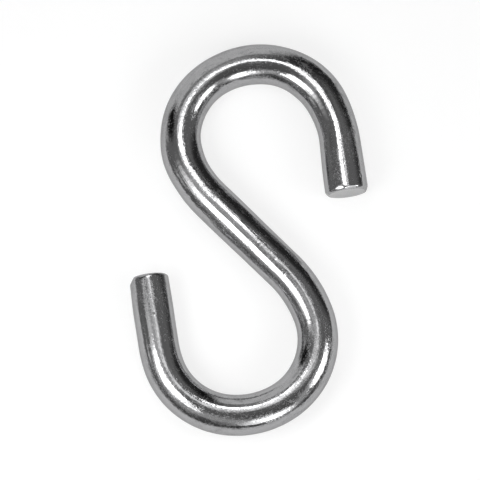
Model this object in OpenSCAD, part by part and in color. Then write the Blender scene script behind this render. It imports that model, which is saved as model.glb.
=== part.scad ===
// S hook: one piece of round wire, bent into two open hooks that lie in one plane.
// It lies flat on z = 0. +Y runs from the lower hook to the upper one, through the centres of
// the two crowns, and the origin is under the middle of the hook's outline.

/* [Wire] */
// Diameter of the wire
wire_d = 6; // [4:0.5:8]
// Radius left on the edge of each cut end by the shear and the tumbling
end_break = 0.45; // [0.1:0.05:1]
// Depth of the shallow dish that the shear leaves in each cut face
end_dish = 0.12; // [0.05:0.01:0.3]
// Share by which a bend as tight as the wire is thick would draw the wire down
thinning_ratio = 0.2; // [0.1:0.05:0.4]

/* [Bends] */
// Inside radius on the two sides of each bend
side_inside_r = 7.85; // [7:0.05:8.8]
// Inside radius of the flatter crown, where the load hangs
crown_inside_r = 9.45; // [9:0.05:12]
// Inside radius where a bend eases into a straight
ease_inside_r = 14.9; // [12.5:0.1:22]

/* [Shank] */
// Straight part of the shank between the two bends
shank_len = 14.8; // [10:0.1:20]

/* [Upper hook] */
// Turn of the ease next to the shank, in degrees
upper_ease_in_angle = 17.5; // [5:0.5:30]
// Turn of the side next to the shank, in degrees
upper_side_in_angle = 84; // [70:0.5:90]
// Turn of the crown, in degrees
upper_crown_angle = 36.5; // [25:0.5:50]
// Turn of the side next to the tip, in degrees
upper_side_out_angle = 59.5; // [45:0.5:70]
// Turn of the ease next to the tip, in degrees
upper_ease_out_angle = 20; // [5:0.5:30]
// Straight tip, from the last bend to the cut
upper_tip = 7.9; // [4:0.1:12]

/* [Lower hook] */
// Turn of the ease next to the shank, in degrees
lower_ease_in_angle = 25; // [5:0.5:30]
// Turn of the side next to the shank, in degrees
lower_side_in_angle = 76; // [70:0.5:90]
// Turn of the crown, in degrees
lower_crown_angle = 42; // [25:0.5:50]
// Turn of the side next to the tip, in degrees
lower_side_out_angle = 63; // [45:0.5:70]
// Turn of the ease next to the tip, in degrees
lower_ease_out_angle = 10.5; // [5:0.5:30]
// Straight tip, from the last bend to the cut
lower_tip = 10; // [4:0.1:12]

/* [Hidden] */

$fn = 64;
wire_r = wire_d / 2;

// Radii of the wire's centre line, which runs half a wire outside the inside radius
side_r = side_inside_r + wire_r;
crown_r = crown_inside_r + wire_r;
ease_r = ease_inside_r + wire_r;

// Each hook as a list of runs, from the middle of the shank outwards.
// [length] is a straight, and [radius, turn] is a bend to the right.
upper_runs = [
    [shank_len / 2],
    [ease_r, upper_ease_in_angle],
    [side_r, upper_side_in_angle],
    [crown_r, upper_crown_angle],
    [side_r, upper_side_out_angle],
    [ease_r, upper_ease_out_angle],
    [upper_tip],
];
lower_runs = [
    [shank_len / 2],
    [ease_r, lower_ease_in_angle],
    [side_r, lower_side_in_angle],
    [crown_r, lower_crown_angle],
    [side_r, lower_side_out_angle],
    [ease_r, lower_ease_out_angle],
    [lower_tip],
];
crown_index = 3; // place of the crown in both lists
lap = 0.1; // how far a run reaches into a thicker neighbour

function is_bend(run) = len(run) == 2;
function turn_of(run) = is_bend(run) ? run[1] : 0;

// Radius of the wire in a run. A tighter bend draws it down more.
function run_r(run) = is_bend(run) ? wire_r * (1 - thinning_ratio * pow(wire_r / run[0], 2)) : wire_r;

// The reach of a run into one of its neighbours
function lap_into(run, neighbour) = run_r(run) < run_r(neighbour) ? lap : 0;

// A point carried from a run's own frame, which heads along +X, to where the run lies
function placed(point, pose) = [
    pose[0] + point[0] * cos(pose[2]) - point[1] * sin(pose[2]),
    pose[1] + point[0] * sin(pose[2]) + point[1] * cos(pose[2]),
];

// The point of a bend's centre line after it has turned by a
function bend_point(radius, a) = radius * [sin(a), cos(a) - 1];

// Where a run ends, in its own frame
function run_end(run) = is_bend(run) ? bend_point(run[0], run[1]) : [run[0], 0];

// The pose [x, y, heading] at the end of a run that starts at pose
function next_pose(run, pose) = concat(placed(run_end(run), pose), [pose[2] - turn_of(run)]);

// The pose at the start of every run, and at the end of the last one
function poses(runs, pose = [0, 0, 0], i = 0) =
    i == len(runs) ? [pose] : concat([pose], poses(runs, next_pose(runs[i], pose), i + 1));

// The centre that a hook's crown is bent about
function crown_centre(runs) = placed([0, -crown_r], poses(runs)[crown_index]);

// Points of the centre line, close enough together to measure how far it reaches
function centre_line(runs) = [
    for (at = [poses(runs)], i = [0 : len(runs) - 1], share = [0 : 1 / 60 : 1])
        placed(is_bend(runs[i]) ? bend_point(runs[i][0], runs[i][1] * share) : [runs[i][0] * share, 0], at[i])
];

// The load line is turned to +Y
load_line = crown_centre(upper_runs) + crown_centre(lower_runs);
frame_turn = 90 - atan2(load_line[1], load_line[0]);

// The middle of the outline, once turned. The lower hook is the same kind of run, turned half round.
outline = concat(
    [for (p = centre_line(upper_runs)) placed(p, [0, 0, frame_turn])],
    [for (p = centre_line(lower_runs)) placed(-p, [0, 0, frame_turn])]
);
middle = [for (axis = [0, 1]) (min([for (p = outline) p[axis]]) + max([for (p = outline) p[axis]])) / 2];

// A bend to the right, which starts at the origin and heads along +X.
// It goes on by the lengths before and after, into its neighbours.
module bent_wire(run, before, after) {
    radius = run[0];
    turn_before = before / radius * 180 / PI;
    turn_after = after / radius * 180 / PI;
    translate([0, -radius, 0]) rotate([0, 0, 90 - run[1] - turn_after])
        rotate_extrude(angle = turn_before + run[1] + turn_after) translate([radius, 0]) circle(r = run_r(run));
}

// The straight tip: the wire, its rolled edge and the shallow dish in its cut face
module cut_tip(length) {
    dish_edge_r = wire_r - end_break;
    dish_r = (dish_edge_r * dish_edge_r + end_dish * end_dish) / (2 * end_dish);
    rotate([0, 90, 0]) difference() {
        rotate_extrude() {
            square([wire_r, length - end_break]);
            square([dish_edge_r, length]);
            translate([dish_edge_r, length - end_break])
                intersection() {
                    circle(r = end_break);
                    square(end_break);
                }
        }
        translate([0, 0, length - end_dish + dish_r]) sphere(r = dish_r);
    }
}

// One hook, from the end of the shank to the cut
module hook(runs) {
    at = poses(runs);
    last = len(runs) - 1;
    for (i = [1 : last]) translate([at[i][0], at[i][1], 0]) rotate([0, 0, at[i][2]]) {
        if (i == last) cut_tip(runs[i][0]);
        else bent_wire(runs[i], lap_into(runs[i], runs[i - 1]), lap_into(runs[i], runs[i + 1]));
    }
}

module shank() {
    rotate([0, 90, 0]) cylinder(r = wire_r, h = shank_len, center = true);
}

module s_hook() {
    color("silver") translate([-middle[0], -middle[1], wire_r]) rotate([0, 0, frame_turn]) {
        shank();
        hook(upper_runs);
        rotate([0, 0, 180]) hook(lower_runs);
    }
}

s_hook();
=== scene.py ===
import math
import bpy
import bmesh
from mathutils import Matrix, Vector, noise


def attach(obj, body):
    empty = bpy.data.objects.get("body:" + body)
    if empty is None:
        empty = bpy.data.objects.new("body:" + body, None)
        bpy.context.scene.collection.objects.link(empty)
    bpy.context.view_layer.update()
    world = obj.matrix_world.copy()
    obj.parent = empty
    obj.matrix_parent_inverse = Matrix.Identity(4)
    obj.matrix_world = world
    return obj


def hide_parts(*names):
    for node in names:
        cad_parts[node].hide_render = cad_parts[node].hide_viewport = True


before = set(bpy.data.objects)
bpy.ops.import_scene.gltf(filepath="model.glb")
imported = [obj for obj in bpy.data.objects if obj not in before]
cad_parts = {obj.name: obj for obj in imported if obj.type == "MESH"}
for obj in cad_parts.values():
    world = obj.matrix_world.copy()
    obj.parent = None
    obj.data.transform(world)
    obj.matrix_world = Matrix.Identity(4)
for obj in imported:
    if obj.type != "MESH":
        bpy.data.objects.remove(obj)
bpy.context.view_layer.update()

mm = 0.001  # the hook's tables are in millimetres and degrees, the meshes in metres
upward = Vector((0, 0, 1))

# The bent wire, from the cut end of the lower hook to the cut end of the upper one
wire = {
    "radius": 3.0,
    "around": 120,
    "step": 0.2,  # length of one ring along the wire
    "bendRadii": {"ease": 17.9, "side": 10.85, "crown": 12.45},
    # Straight runs by their length, bends by their turn, which is positive to the left
    "runs": [
        ("straight", 10.0),
        ("ease", 10.5),
        ("side", 63),
        ("crown", 42),
        ("side", 76),
        ("ease", 25),
        ("straight", 14.8),
        ("ease", -17.5),
        ("side", -84),
        ("crown", -36.5),
        ("side", -59.5),
        ("ease", -20),
        ("straight", 7.9),
    ],
    "offWire": 4,  # a point further than this from the centre line lies on another run
    "thinning": 0.2,  # how much a tight bend draws the wire down
    "evening": (-1.6, -0.8, 0.0, 0.8, 1.6),  # where the bend is read, to even out where runs meet
    # Where the tools left the wire wider or narrower: place along it, reach, share on its left and right
    "swells": [
        (0, 6, -0.025, -0.06),
        (9, 8, -0.02, -0.02),
        (36, 9, -0.015, -0.015),
        (69, 10, 0.02, 0.02),
        (79, 4, 0.035, 0.035),
        (93, 8, -0.03, -0.03),
        (109, 7, 0.055, 0.055),
        (125, 9, 0.02, 0.09),
    ],
    "swellFlattening": 0.3,  # share of a swelling by which the wire gets lower
    "waveDepth": 0.022,  # shallow hollows left by the draw and the tumbling
    "waveSize": 2.2,
    "waveStretch": 1.8,
    "bendStrain": 6,  # how much a bend roughens the surface all round
    "outsideStrain": 1.6,  # and how much more on its stretched side
}

# The two sheared ends
cutEnd = {
    "edge": 0.45,  # radius rolled on the edge
    "edgeSteps": 9,
    "dish": 0.12,  # depth of the hollow in the face
    "dishRings": 9,
    "lastRing": 0.6,  # what is left in the middle, in rings
    # Flats that the shear pressed on the edge: place round it, slope, how far back it starts, and
    # whether it was torn rough. Round it counts from the left side of the wire, and 90 is the top.
    "lowerFlats": [(172, 38, 0.85, False), (112, 24, 0.5, True), (92, 7, 0.6, False)],
    "upperFlats": [(110, 13, 0.65, False), (81, 45, 0.4, True), (8, 40, 0.75, False), (186, 45, 0.5, False)],
    "flatness": 0.9,
    "pressReach": 1.5,  # how far from the end the flats reach, in radii
}


def headingVector(degrees):
    return Vector((math.cos(math.radians(degrees)), math.sin(math.radians(degrees)), 0))


def pointOn(run, share):  # on the centre line, that share of the way along the run
    if run["kind"] == "straight":
        return run["point"] + headingVector(run["heading"]) * run["length"] * share
    side = math.copysign(90, run["turn"])
    return run["centre"] - headingVector(run["heading"] + run["turn"] * share + side) * run["bendRadius"]


def wirePath(spec, point, heading):  # every run with where it starts, which way it heads and how far along
    station = 0.0
    path = []
    for kind, size in spec["runs"]:
        run = {"kind": kind, "point": point, "heading": heading, "station": station}
        if kind == "straight":
            run["turn"] = 0
            run["length"] = size
            run["curve"] = 0.0
        else:
            run["turn"] = size
            run["bendRadius"] = spec["bendRadii"][kind]
            run["length"] = run["bendRadius"] * math.radians(abs(size))
            run["curve"] = math.copysign(1 / run["bendRadius"], size)
            run["centre"] = point + headingVector(heading + math.copysign(90, size)) * run["bendRadius"]
        path.append(run)
        point = pointOn(run, 1)
        heading = heading + run["turn"]
        station = station + run["length"]
    return path, point, heading, station


def placeWire(spec):  # the lower cut's place and heading: crowns in line with Y, and the hook centred
    path = wirePath(spec, Vector((0, 0, 0)), 0)[0]
    lowerCrown, upperCrown = [run["centre"] for run in path if run["kind"] == "crown"]
    loadLine = upperCrown - lowerCrown
    heading = 90 - math.degrees(math.atan2(loadLine.y, loadLine.x))
    path = wirePath(spec, Vector((0, 0, 0)), heading)[0]
    shares = [step / 60 for step in range(61)]
    centreLine = [pointOn(run, share) for run in path for share in shares]
    middle = [(min(p[axis] for p in centreLine) + max(p[axis] for p in centreLine)) / 2 for axis in (0, 1)]
    return Vector((-middle[0], -middle[1], spec["radius"])), heading


def ringOf(geometry):
    verts = [g for g in geometry if isinstance(g, bmesh.types.BMVert)]
    edges = [g for g in geometry if isinstance(g, bmesh.types.BMEdge)]
    return verts, edges


def paintCut(geometry):  # the sheared face takes the hook's second material
    for item in geometry:
        if isinstance(item, bmesh.types.BMFace):
            item.material_index = 1


def rollEnd(bm, verts, edges, point, outward, spec, radius):  # rolled edge, then the dished face
    centre = point - outward * spec["edge"]
    back = Matrix.Translation(-centre)
    size = radius
    depth = 0.0
    for step in range(1, spec["edgeSteps"] + 1):
        angle = math.radians(90) * step / spec["edgeSteps"]
        nextSize = radius - spec["edge"] * (1 - math.cos(angle))
        nextDepth = spec["edge"] * math.sin(angle)
        grown = bmesh.ops.extrude_edge_only(bm, edges=edges)["geom"]
        verts, edges = ringOf(grown)
        share = nextSize / size
        bmesh.ops.scale(bm, vec=(share, share, share), space=back, verts=verts)
        bmesh.ops.translate(bm, vec=outward * (nextDepth - share * depth), verts=verts)
        size = nextSize
        depth = nextDepth
    faceSize = size
    for ring in range(1, spec["dishRings"] + 1):
        nextSize = faceSize * (1 - ring / (spec["dishRings"] + spec["lastRing"]))
        nextDepth = spec["edge"] - spec["dish"] * (1 - (nextSize / faceSize) ** 2)
        grown = bmesh.ops.extrude_edge_only(bm, edges=edges)["geom"]
        verts, edges = ringOf(grown)
        paintCut(grown)
        share = nextSize / size
        bmesh.ops.scale(bm, vec=(share, share, share), space=back, verts=verts)
        bmesh.ops.translate(bm, vec=outward * (nextDepth - share * depth), verts=verts)
        size = nextSize
        depth = nextDepth
    middle = bmesh.ops.contextual_create(bm, geom=edges)["faces"]
    paintCut(middle)
    bmesh.ops.poke(bm, faces=middle)


def pressFlats(bm, end, outward, left, radius, flats, spec):
    near = [vert for vert in bm.verts if (vert.co - end).length < radius * spec["pressReach"]]
    for turn, slope, reach, torn in flats:
        radial = left * math.cos(math.radians(turn)) + upward * math.sin(math.radians(turn))
        facing = radial * math.cos(math.radians(slope)) + outward * math.sin(math.radians(slope))
        hinge = end - outward * reach + radial * radius
        pressed = set()
        for vert in near:
            over = (vert.co - hinge).dot(facing)
            if over > 0:
                vert.co -= facing * over * spec["flatness"]
                pressed.add(vert)
        if torn:
            touched = {face for vert in pressed for face in vert.link_faces}
            paintCut([face for face in touched if pressed.issuperset(face.verts)])


def unbend(path, point, guess, offWire):  # the run it lies on, left of the wire there, place across and along
    for run in [guess] + path:
        if run["kind"] == "straight":
            left = headingVector(run["heading"] + 90)
            gone = (point - run["point"]).dot(headingVector(run["heading"]))
            across = (point - run["point"]).dot(left)
        else:
            side = math.copysign(1, run["turn"])
            start = (run["point"] - run["centre"]).xy
            arm = (point - run["centre"]).xy
            gone = -side * start.angle_signed(arm) * run["bendRadius"]
            across = side * (run["bendRadius"] - arm.length)
            left = Vector((*arm.normalized(), 0)) * -side
        if -0.01 <= gone <= run["length"] + 0.01 and abs(across) < offWire:
            return run, left, across, run["station"] + gone
    raise ValueError("a point lies off the wire")


def evenedCurve(path, station, places):  # the bend there, evened out over a few millimetres
    total = 0.0
    for place in places:
        for run in path:
            if run["station"] <= station + place < run["station"] + run["length"]:
                total += run["curve"]
    return total / len(places)


def swellAt(swells, station):  # on the left of the wire and on its right
    onLeft = 0.0
    onRight = 0.0
    for middle, reach, left, right in swells:
        away = abs(station - middle) / reach
        if away < 1:
            fade = 0.5 + 0.5 * math.cos(math.pi * away)
            onLeft += left * fade
            onRight += right * fade
    return onLeft, onRight


def shapeWire(bm, path, spec):  # draws the bends down, swells the wire and leaves it slightly wavy
    unbent = bm.verts.layers.float_vector.new("unbent")  # the wire as if straight, in millimetres
    strain = bm.verts.layers.float.new("strain")  # most on the stretched outside of a tight bend
    radius = spec["radius"]
    run = path[0]
    sections = {}  # curve and swell at each ring
    for vert in bm.verts:
        run, left, across, station = unbend(path, vert.co, run, spec["offWire"])
        up = vert.co.z - radius
        ring = round(station, 3)
        if ring not in sections:
            sections[ring] = (evenedCurve(path, ring, spec["evening"]), swellAt(spec["swells"], ring))
        curve, swells = sections[ring]
        lean = 0.5 - 0.5 * across / radius  # 0 on the left side, 1 on the right
        swell = swells[0] * (1 - lean) + swells[1] * lean
        drawn = 1 - spec["thinning"] * (radius * curve) ** 2
        place = Vector((across, up, station / spec["waveStretch"])) / spec["waveSize"]
        wave = spec["waveDepth"] * (0.5 + 0.5 * noise.noise(place)) / radius
        vert[unbent] = (across, up, station)
        vert[strain] = max(0, abs(curve) * spec["bendStrain"] - across * curve * spec["outsideStrain"])
        widened = across * drawn * (1 + swell - wave)
        flattened = up * drawn * (1 - max(0, swell) * spec["swellFlattening"] - wave)
        vert.co += left * (widened - across) + upward * (flattened - up)


def startRing(point, heading, spec):  # a circle of the wire's section, square to the way it runs
    forward = headingVector(heading)
    left = headingVector(heading + 90)
    turned = Matrix((left, upward, forward)).transposed().to_4x4()
    part = bmesh.new()
    circle = bmesh.ops.create_circle(
        part, cap_ends=False, radius=spec["radius"], segments=spec["around"],
        matrix=Matrix.Translation(point) @ turned,
    )
    edges = list({edge for vert in circle["verts"] for edge in vert.link_edges})
    return part, circle["verts"], edges


def joinPart(bm, part):
    mesh = bpy.data.meshes.new("part")
    part.to_mesh(mesh)
    part.free()
    bm.from_mesh(mesh)
    bpy.data.meshes.remove(mesh)


def bendRun(run, spec):
    part, verts, edges = startRing(run["point"], run["heading"], spec)
    steps = round(run["length"] / spec["step"])
    if run["kind"] == "straight":
        bmesh.ops.spin(
            part, geom=verts + edges, cent=run["point"], axis=upward, angle=0,
            dvec=headingVector(run["heading"]) * (run["length"] / steps), steps=steps, use_merge=False,
        )
    else:
        bmesh.ops.spin(
            part, geom=verts + edges, cent=run["centre"], axis=upward, dvec=(0, 0, 0),
            angle=math.radians(run["turn"]), steps=steps, use_merge=False,
        )
    return part


def cutTip(point, outward, left, ends, spec):
    heading = math.degrees(math.atan2(left.y, left.x)) - 90
    part, verts, edges = startRing(point - outward * ends["edge"], heading, spec)
    rollEnd(part, verts, edges, point, outward, ends, spec["radius"])
    return part


def placeMesh(name, bm):
    mesh = bpy.data.meshes.new(name)
    bm.to_mesh(mesh)
    bm.free()
    thing = bpy.data.objects.new(name, mesh)
    bpy.context.scene.collection.objects.link(thing)
    return thing


def makeWire(spec, ends):
    firstPoint, firstHeading = placeWire(spec)
    path, lastPoint, lastHeading, length = wirePath(spec, firstPoint, firstHeading)
    forward = headingVector(firstHeading)
    left = headingVector(firstHeading + 90)
    lastForward = headingVector(lastHeading)
    lastLeft = headingVector(lastHeading + 90)
    bm = bmesh.new()
    for run in path:
        tube = dict(run)
        if run is path[0]:
            tube["point"] = run["point"] + forward * ends["edge"]
        if run is path[0] or run is path[-1]:
            tube["length"] = run["length"] - ends["edge"]
        joinPart(bm, bendRun(tube, spec))
    joinPart(bm, cutTip(firstPoint, -forward, left, ends, spec))
    joinPart(bm, cutTip(lastPoint, lastForward, lastLeft, ends, spec))
    bmesh.ops.remove_doubles(bm, verts=bm.verts, dist=1e-3)
    pressFlats(bm, firstPoint, -forward, left, spec["radius"], ends["lowerFlats"], ends)
    pressFlats(bm, lastPoint, lastForward, lastLeft, spec["radius"], ends["upperFlats"], ends)
    shapeWire(bm, path, spec)
    bmesh.ops.recalc_face_normals(bm, faces=bm.faces)
    bmesh.ops.scale(bm, vec=(mm, mm, mm), verts=bm.verts)
    piece = placeMesh("hookWire", bm)
    piece.data.shade_smooth()
    print("wire bent,", round(length, 1), "mm of it,", len(piece.data.polygons), "faces")
    return piece


def addNode(tree, kind, values=None, **settings):  # each value is a constant or another node's output
    node = tree.nodes.new("ShaderNode" + kind)
    for setting, value in settings.items():
        setattr(node, setting, value)
    for name, value in (values or {}).items():
        if isinstance(value, bpy.types.NodeSocket):
            tree.links.new(value, node.inputs[name])
        else:
            node.inputs[name].default_value = value
    return node


def useGroup(tree, group, values):
    return addNode(tree, "Group", values, node_tree=group)


def addUp(tree, sockets):
    total = sockets[0]
    for socket in sockets[1:]:
        total = addNode(tree, "Math", {0: total, 1: socket}, operation="ADD").outputs[0]
    return total


def mixColours(tree, factor, spec):  # sockets 6 and 7 are the Mix node's two colours
    mix = addNode(tree, "Mix", {"Factor": factor, 6: spec["light"], 7: spec["dull"]}, data_type="RGBA")
    return mix.outputs[2]


def newGroup(name, inputs, outputs):
    tree = bpy.data.node_groups.new(name, "ShaderNodeTree")
    for socket, kind in inputs.items():
        tree.interface.new_socket(socket, in_out="INPUT", socket_type="NodeSocket" + kind)
    for socket, kind in outputs.items():
        tree.interface.new_socket(socket, in_out="OUTPUT", socket_type="NodeSocket" + kind)
    return tree, tree.nodes.new("NodeGroupInput"), tree.nodes.new("NodeGroupOutput")


def makeGrainGroup():  # noise in millimetres that can be drawn out along the wire, as height and as mask
    tree, given, out = newGroup(
        "drawnGrain",
        {"Place": "Vector", "Per mm across": "Float", "Per mm along": "Float", "Depth": "Float"},
        {"Height": "Float", "Mask": "Float"},
    )
    stretch = addNode(tree, "CombineXYZ", {
        "X": given.outputs["Per mm across"],
        "Y": given.outputs["Per mm across"],
        "Z": given.outputs["Per mm along"],
    })
    scaled = addNode(tree, "VectorMath", {
        0: given.outputs["Place"], 1: stretch.outputs[0],
    }, operation="MULTIPLY")
    grain = addNode(tree, "TexNoise", {
        "Vector": scaled.outputs[0], "Scale": 1, "Detail": 2, "Roughness": 0.55,
    })
    centred = addNode(tree, "Math", {0: grain.outputs["Fac"], 1: 0.5}, operation="SUBTRACT")
    height = addNode(tree, "Math", {0: centred.outputs[0], 1: given.outputs["Depth"]}, operation="MULTIPLY")
    mask = addNode(tree, "MapRange", {"Value": grain.outputs["Fac"], "From Min": 0.32, "From Max": 0.68})
    tree.links.new(height.outputs[0], out.inputs["Height"])
    tree.links.new(mask.outputs[0], out.inputs["Mask"])
    return tree


def makeDentGroup():  # scattered small round dents
    tree, given, out = newGroup(
        "tinyDents",
        {"Place": "Vector", "Per mm": "Float", "Width": "Float", "Depth": "Float"},
        {"Height": "Float"},
    )
    cells = addNode(tree, "TexVoronoi", {
        "Vector": given.outputs["Place"], "Scale": given.outputs["Per mm"],
    })
    fromMiddle = addNode(tree, "Math", {
        0: cells.outputs["Distance"], 1: given.outputs["Width"],
    }, operation="DIVIDE")
    bowl = addNode(tree, "MapRange", {
        "Value": fromMiddle.outputs[0], "To Min": 1, "To Max": 0,
    }, interpolation_type="SMOOTHSTEP")
    sunk = addNode(tree, "Math", {0: bowl.outputs[0], 1: given.outputs["Depth"]}, operation="MULTIPLY")
    height = addNode(tree, "Math", {0: 0, 1: sunk.outputs[0]}, operation="SUBTRACT")
    tree.links.new(height.outputs[0], out.inputs["Height"])
    return tree


# Bright zinc plate over drawn steel. Grains are (per mm across, per mm along, depth in mm).
plate = {
    "light": (0.38, 0.38, 0.385, 1),
    "dull": (0.31, 0.31, 0.315, 1),
    "edge": (0.6, 0.6, 0.6, 1),  # what a grazing look gets back
    "polished": 0.06,  # roughness between the pits
    "matt": 0.43,  # roughness inside them
    "pits": (11, 9, 0.0005),
    "grit": (4.4, 3.4, 0.001),
    "smudges": (2.0, 0.7, 0.008),
    "drawLines": (4.5, 0.06, 0.012),
    "dieMarks": (1.3, 0.03, 0.03),
    "orangePeel": (2.2, 1.7, 0.012),
    "strainPeel": (3.6, 3.0, 0.02),
    "dents": {"Per mm": 0.42, "Width": 0.16, "Depth": 0.02},
    "specks": {"Per mm": 1.4, "Width": 0.2, "Depth": 0.006},
    "patches": (0.3, 0.13, 0),  # wide areas with more or less peel and pits
    "leastPeel": 0.3,  # in the smoothest of them
    "crowding": (2.0, 3.2),  # from how many overlapping marks the plate starts to dull, and is matt
}


def plateMaterial(spec, grainGroup, dentGroup):
    material = bpy.data.materials.new("zincPlate")
    material.use_nodes = True
    tree = material.node_tree
    shader = tree.nodes["Principled BSDF"]
    unbent = addNode(tree, "Attribute", attribute_name="unbent").outputs["Vector"]
    strain = addNode(tree, "Attribute", attribute_name="strain").outputs["Fac"]

    def grain(name):
        across, along, depth = spec[name]
        return useGroup(tree, grainGroup, {
            "Place": unbent, "Per mm across": across, "Per mm along": along, "Depth": depth,
        })

    rough = addNode(tree, "MapRange", {
        "Value": grain("patches").outputs["Mask"], "To Min": spec["leastPeel"], "To Max": 1,
    })
    peel = addNode(tree, "Math", {
        0: grain("orangePeel").outputs["Height"], 1: rough.outputs[0],
    }, operation="MULTIPLY")
    strained = addNode(tree, "Math", {
        0: grain("strainPeel").outputs["Height"], 1: strain,
    }, operation="MULTIPLY")
    pits = grain("pits")
    grit = grain("grit")
    smudges = grain("smudges")
    height = addUp(tree, [
        grain("drawLines").outputs["Height"],
        grain("dieMarks").outputs["Height"],
        peel.outputs[0],
        strained.outputs[0],
        smudges.outputs["Height"],
        grit.outputs["Height"],
        pits.outputs["Height"],
        useGroup(tree, dentGroup, {"Place": unbent, **spec["dents"]}).outputs["Height"],
        useGroup(tree, dentGroup, {"Place": unbent, **spec["specks"]}).outputs["Height"],
    ])
    bump = addNode(tree, "Bump", {"Height": height, "Distance": mm, "Strength": 1})
    # Pits crowd together where the smudges and the grit are
    crowd = addUp(tree, [
        pits.outputs["Mask"], grit.outputs["Mask"], smudges.outputs["Mask"], rough.outputs[0],
    ])
    dullness = addNode(tree, "MapRange", {
        "Value": crowd, "From Min": spec["crowding"][0], "From Max": spec["crowding"][1],
    }).outputs[0]
    roughness = addNode(tree, "MapRange", {
        "Value": dullness, "To Min": spec["polished"], "To Max": spec["matt"],
    })
    shader.inputs["Metallic"].default_value = 1
    shader.inputs["Specular Tint"].default_value = spec["edge"]
    tree.links.new(mixColours(tree, dullness, spec), shader.inputs["Base Color"])
    tree.links.new(roughness.outputs[0], shader.inputs["Roughness"])
    tree.links.new(bump.outputs["Normal"], shader.inputs["Normal"])
    return material


# The sheared faces: plated like the rest, but torn by the blade into fine lines
shearFace = {
    "light": (0.40, 0.40, 0.405, 1),
    "dull": (0.32, 0.32, 0.325, 1),
    "roughness": 0.3,
    "bladeTurn": 12,  # which way the blade's lines run across the face
    "bladeLines": (7, 0.6, 0.02),
    "grain": (5, 5, 0.008),
}


def shearMaterial(spec, grainGroup):
    material = bpy.data.materials.new("shearedFace")
    material.use_nodes = True
    tree = material.node_tree
    shader = tree.nodes["Principled BSDF"]
    unbent = addNode(tree, "Attribute", attribute_name="unbent").outputs["Vector"]
    turned = addNode(tree, "Mapping", {
        "Vector": unbent, "Rotation": (0, math.radians(90), math.radians(spec["bladeTurn"])),
    }, vector_type="POINT")
    heights = []
    for name, place in (("bladeLines", turned.outputs[0]), ("grain", unbent)):
        across, along, depth = spec[name]
        grain = useGroup(tree, grainGroup, {
            "Place": place, "Per mm across": across, "Per mm along": along, "Depth": depth,
        })
        heights.append(grain.outputs["Height"])
    bump = addNode(tree, "Bump", {"Height": addUp(tree, heights), "Distance": mm, "Strength": 1})
    shader.inputs["Metallic"].default_value = 1
    shader.inputs["Roughness"].default_value = spec["roughness"]
    tree.links.new(mixColours(tree, grain.outputs["Mask"], spec), shader.inputs["Base Color"])
    tree.links.new(bump.outputs["Normal"], shader.inputs["Normal"])
    return material


camera = {
    "azimuth": 7.385,
    "elevation": 76.85,
    "distance": 0.52,  # in metres, as the width is
    "frameWidth": 0.06974,  # what the picture spans at the hook, 480 pixels wide
    "target": (-1.095, -0.48, 3.0),
    "sensor": 36,
    "clip": (0.01, 20),
}


def directionTo(azimuth, elevation):
    a = math.radians(azimuth)
    e = math.radians(elevation)
    return Vector((math.sin(a) * math.cos(e), -math.cos(a) * math.cos(e), math.sin(e)))


def cameraAxes(spec):  # right and up in the picture, and back towards the camera
    back = directionTo(spec["azimuth"], spec["elevation"])
    right = upward.cross(back).normalized()
    return right, back.cross(right), back


def aimCamera(spec):
    data = bpy.data.cameras.new("camera")
    data.sensor_width = spec["sensor"]
    data.lens = spec["sensor"] * spec["distance"] / spec["frameWidth"]
    data.clip_start, data.clip_end = spec["clip"]
    shot = bpy.data.objects.new("camera", data)
    right, up, back = cameraAxes(spec)
    shot.location = Vector(spec["target"]) * mm + back * spec["distance"]
    shot.rotation_euler = Matrix((right, up, back)).transposed().to_euler()
    bpy.context.scene.collection.objects.link(shot)
    bpy.context.scene.camera = shot


def emptyMaterial(name):  # its node tree, and the socket that its surface goes to
    material = bpy.data.materials.new(name)
    material.use_nodes = True
    tree = material.node_tree
    tree.nodes.remove(tree.nodes["Principled BSDF"])
    return material, tree, tree.nodes["Material Output"].inputs["Surface"]


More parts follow.
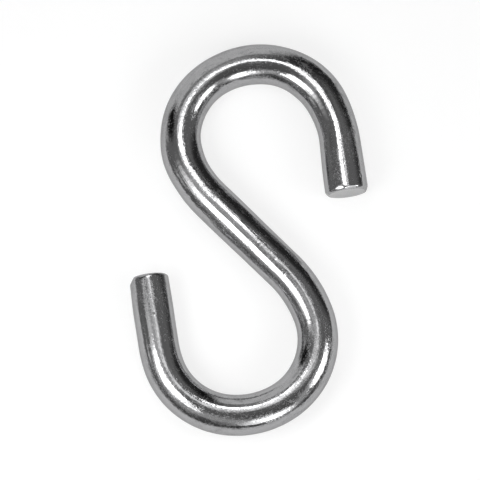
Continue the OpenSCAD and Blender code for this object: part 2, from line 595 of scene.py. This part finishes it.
# Soft-edged cloths, cards and lamps hung round the hook. Each stands "distance" metres away, as many
# degrees to the right of the camera's line and above it as "right" and "up" say. "spread" is half its
# width away from that line and across it, in degrees, "turn" turns it in its own plane, "core" is the
# part of it that is evenly lit, and "glow" is how bright it is.
panels = {
    "sweep": {
        "right": -42, "up": 78, "distance": 0.33,
        "spread": (70, 44), "turn": -81, "core": 0.75, "glow": 0.92,
    },
    "blackFlag": {
        "right": 71, "up": 64, "distance": 0.25,
        "spread": (78, 39), "turn": -37, "core": 0.4, "glow": 0.04,
    },
    "sideFlag": {
        "right": -62, "up": 37, "distance": 0.32,
        "spread": (32, 15), "turn": 13, "core": 0.45, "glow": 0.01,
    },
    "lowFill": {
        "right": -8, "up": -39, "distance": 0.11,
        "spread": (64, 16), "turn": 52, "core": 0.1, "glow": 0.6,
    },
    "leftFill": {
        "right": -39, "up": -3, "distance": 0.15,
        "spread": (22, 28), "turn": -39, "core": 0.05, "glow": 2.3,
    },
    "bottomFill": {
        "right": 40, "up": -32, "distance": 0.1,
        "spread": (11, 62), "turn": 46, "core": 0.15, "glow": 0.6,
    },
    "middleFill": {
        "right": -12, "up": 27.5, "distance": 0.48,
        "spread": (27.5, 9.5), "turn": -42, "core": 0.55, "glow": 0.78,
    },
    "lens": {
        "right": 14.5, "up": -36, "distance": 0.5,
        "spread": (9.5, 65), "turn": 158, "core": 0.7, "glow": 0.5,
    },
    "wedge": {
        "right": -1, "up": 25.5, "distance": 0.39,
        "spread": (29, 9), "turn": 54, "core": 0.05, "glow": 2,
    },
    "overhead": {
        "right": -4, "up": 31, "distance": 0.14,
        "spread": (5, 11.5), "turn": 12, "core": 0.85, "glow": 5.8,
    },
    "leftBox": {
        "right": -32.5, "up": -16.5, "distance": 0.1,
        "spread": (13.5, 26), "turn": -27, "core": 0.85, "glow": 5.8,
    },
    "leftLow": {
        "right": -34.5, "up": -35, "distance": 0.1,
        "spread": (38, 17), "turn": -60, "core": 0.15, "glow": 0.6,
    },
    "rightBox": {
        "right": 52, "up": -6, "distance": 0.18,
        "spread": (16.5, 13), "turn": -103, "core": 0.85, "glow": 5.8,
    },
    "lowBox": {
        "right": 21, "up": -47, "distance": 0.3,
        "spread": (14, 20), "turn": -19, "core": 0.85, "glow": 5.8,
    },
    "cornerFlag": {
        "right": 23.5, "up": 67, "distance": 0.16,
        "spread": (78, 12.5), "turn": -12, "core": 0.05, "glow": 0.01,
    },
    "gleam": {
        "right": -69, "up": -9, "distance": 0.12,
        "spread": (5.5, 9), "turn": 7, "core": 0.45, "glow": 0.85,
    },
}


def glowMaterial(name, spec):
    material, tree, surface = emptyMaterial(name)
    place = addNode(tree, "TexCoord").outputs["Object"]
    away = addNode(tree, "VectorMath", {0: place}, operation="LENGTH").outputs["Value"]
    fade = addNode(tree, "MapRange", {
        "Value": away, "From Min": spec["core"], "From Max": 1, "To Min": 1, "To Max": 0,
    }, interpolation_type="SMOOTHSTEP").outputs["Result"]
    clear = addNode(tree, "BsdfTransparent").outputs["BSDF"]
    glow = addNode(tree, "Emission", {"Strength": spec["glow"]}).outputs["Emission"]
    mix = addNode(tree, "MixShader", {"Fac": fade, 1: clear, 2: glow})
    tree.links.new(mix.outputs["Shader"], surface)
    return material


def hangPanel(name, spec):
    right, up, back = cameraAxes(camera)
    tilt = math.hypot(spec["right"], spec["up"])
    outwards = (right * spec["right"] + up * spec["up"]) / tilt
    towards = back * math.cos(math.radians(tilt)) + outwards * math.sin(math.radians(tilt))
    along = outwards * math.cos(math.radians(tilt)) - back * math.sin(math.radians(tilt))
    turned = Matrix.Rotation(math.radians(spec["turn"]), 3, towards)
    xAxis = turned @ along
    yAxis = turned @ towards.cross(along)
    oneDegree = math.tan(math.radians(1)) * spec["distance"]  # as wide as a degree is at that distance
    bm = bmesh.new()
    bmesh.ops.create_circle(bm, cap_ends=True, radius=1, segments=64)
    panel = placeMesh(name, bm)
    panel.data.materials.append(glowMaterial(name, spec))
    panel.matrix_world = (
        Matrix.Translation(upward * wire["radius"] * mm + towards * spec["distance"])
        @ Matrix((xAxis, yAxis, towards)).transposed().to_4x4()
        @ Matrix.Diagonal((spec["spread"][0] * oneDegree, spec["spread"][1] * oneDegree, 1, 1))
    )
    panel.visible_camera = False


# The dim room beyond the panels. It is lighter towards the floor and the top of the picture.
room = {
    "size": 0.9,
    "overhead": 0.178,
    "low": 0.04,
    "right": -0.015,
    "up": 0.117,
}


def makeRoom(spec):
    bm = bmesh.new()
    bmesh.ops.create_uvsphere(bm, u_segments=48, v_segments=24, radius=spec["size"])
    whole = list(bm.verts) + list(bm.edges) + list(bm.faces)
    bmesh.ops.bisect_plane(bm, geom=whole, plane_co=(0, 0, 0), plane_no=(0, 0, 1), clear_inner=True)
    shell = placeMesh("room", bm)
    shell.visible_camera = False
    material, tree, surface = emptyMaterial("roomGloom")
    right, up, back = cameraAxes(camera)
    slope = right * spec["right"] + up * spec["up"] - back * spec["low"]
    place = addNode(tree, "TexCoord").outputs["Object"]
    lean = addNode(tree, "VectorMath", {0: place, 1: slope / spec["size"]}, operation="DOT_PRODUCT")
    level = addNode(tree, "Math", {
        0: lean.outputs["Value"], 1: spec["overhead"] + spec["low"],
    }, operation="ADD")
    glow = addNode(tree, "Emission", {"Strength": level.outputs[0]})
    tree.links.new(glow.outputs["Emission"], surface)
    shell.data.materials.append(material)


def seenRays(tree):  # 1 for the rays that see the background: camera, mirror and glass
    rays = addNode(tree, "LightPath").outputs
    either = addNode(tree, "Math", {
        0: rays["Is Camera Ray"], 1: rays["Is Glossy Ray"],
    }, operation="MAXIMUM")
    anyOf = addNode(tree, "Math", {
        0: either.outputs[0], 1: rays["Is Transmission Ray"],
    }, operation="MAXIMUM")
    return anyOf.outputs[0]


paper = {
    "colour": (0.34, 0.34, 0.34, 1),
    "lift": 0.7,  # brings the paper up to white where it is seen, and leaves the shadow on it
    "size": 4,
}


def makeFloor(spec):
    bm = bmesh.new()
    bmesh.ops.create_grid(bm, x_segments=1, y_segments=1, size=spec["size"])
    floor = placeMesh("floor", bm)
    material = bpy.data.materials.new("whitePaper")
    material.use_nodes = True
    tree = material.node_tree
    shader = tree.nodes["Principled BSDF"]
    shader.inputs["Base Color"].default_value = spec["colour"]
    shader.inputs["Roughness"].default_value = 1
    shader.inputs["Specular IOR Level"].default_value = 0
    lift = addNode(tree, "Math", {0: seenRays(tree), 1: spec["lift"]}, operation="MULTIPLY")
    glow = addNode(tree, "Emission", {"Strength": lift.outputs[0]})
    add = addNode(tree, "AddShader", {0: shader.outputs["BSDF"], 1: glow.outputs["Emission"]})
    tree.links.new(add.outputs["Shader"], tree.nodes["Material Output"].inputs["Surface"])
    floor.data.materials.append(material)


def makeWorld():  # white behind everything that is seen past the floor
    world = bpy.data.worlds.new("world")
    world.use_nodes = True
    tree = world.node_tree
    background = tree.nodes["Background"]
    background.inputs["Color"].default_value = (1, 1, 1, 1)
    tree.links.new(seenRays(tree), background.inputs["Strength"])
    bpy.context.scene.world = world


hook = makeWire(wire, cutEnd)
grainGroup = makeGrainGroup()
hook.data.materials.append(plateMaterial(plate, grainGroup, makeDentGroup()))
hook.data.materials.append(shearMaterial(shearFace, grainGroup))
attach(hook, "root")
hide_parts("s_hook")
print("wire plated")

makeWorld()
makeRoom(room)
makeFloor(paper)
for name, spec in panels.items():
    hangPanel(name, spec)
aimCamera(camera)
bpy.context.scene.view_settings.view_transform = "Standard"
print("studio set")
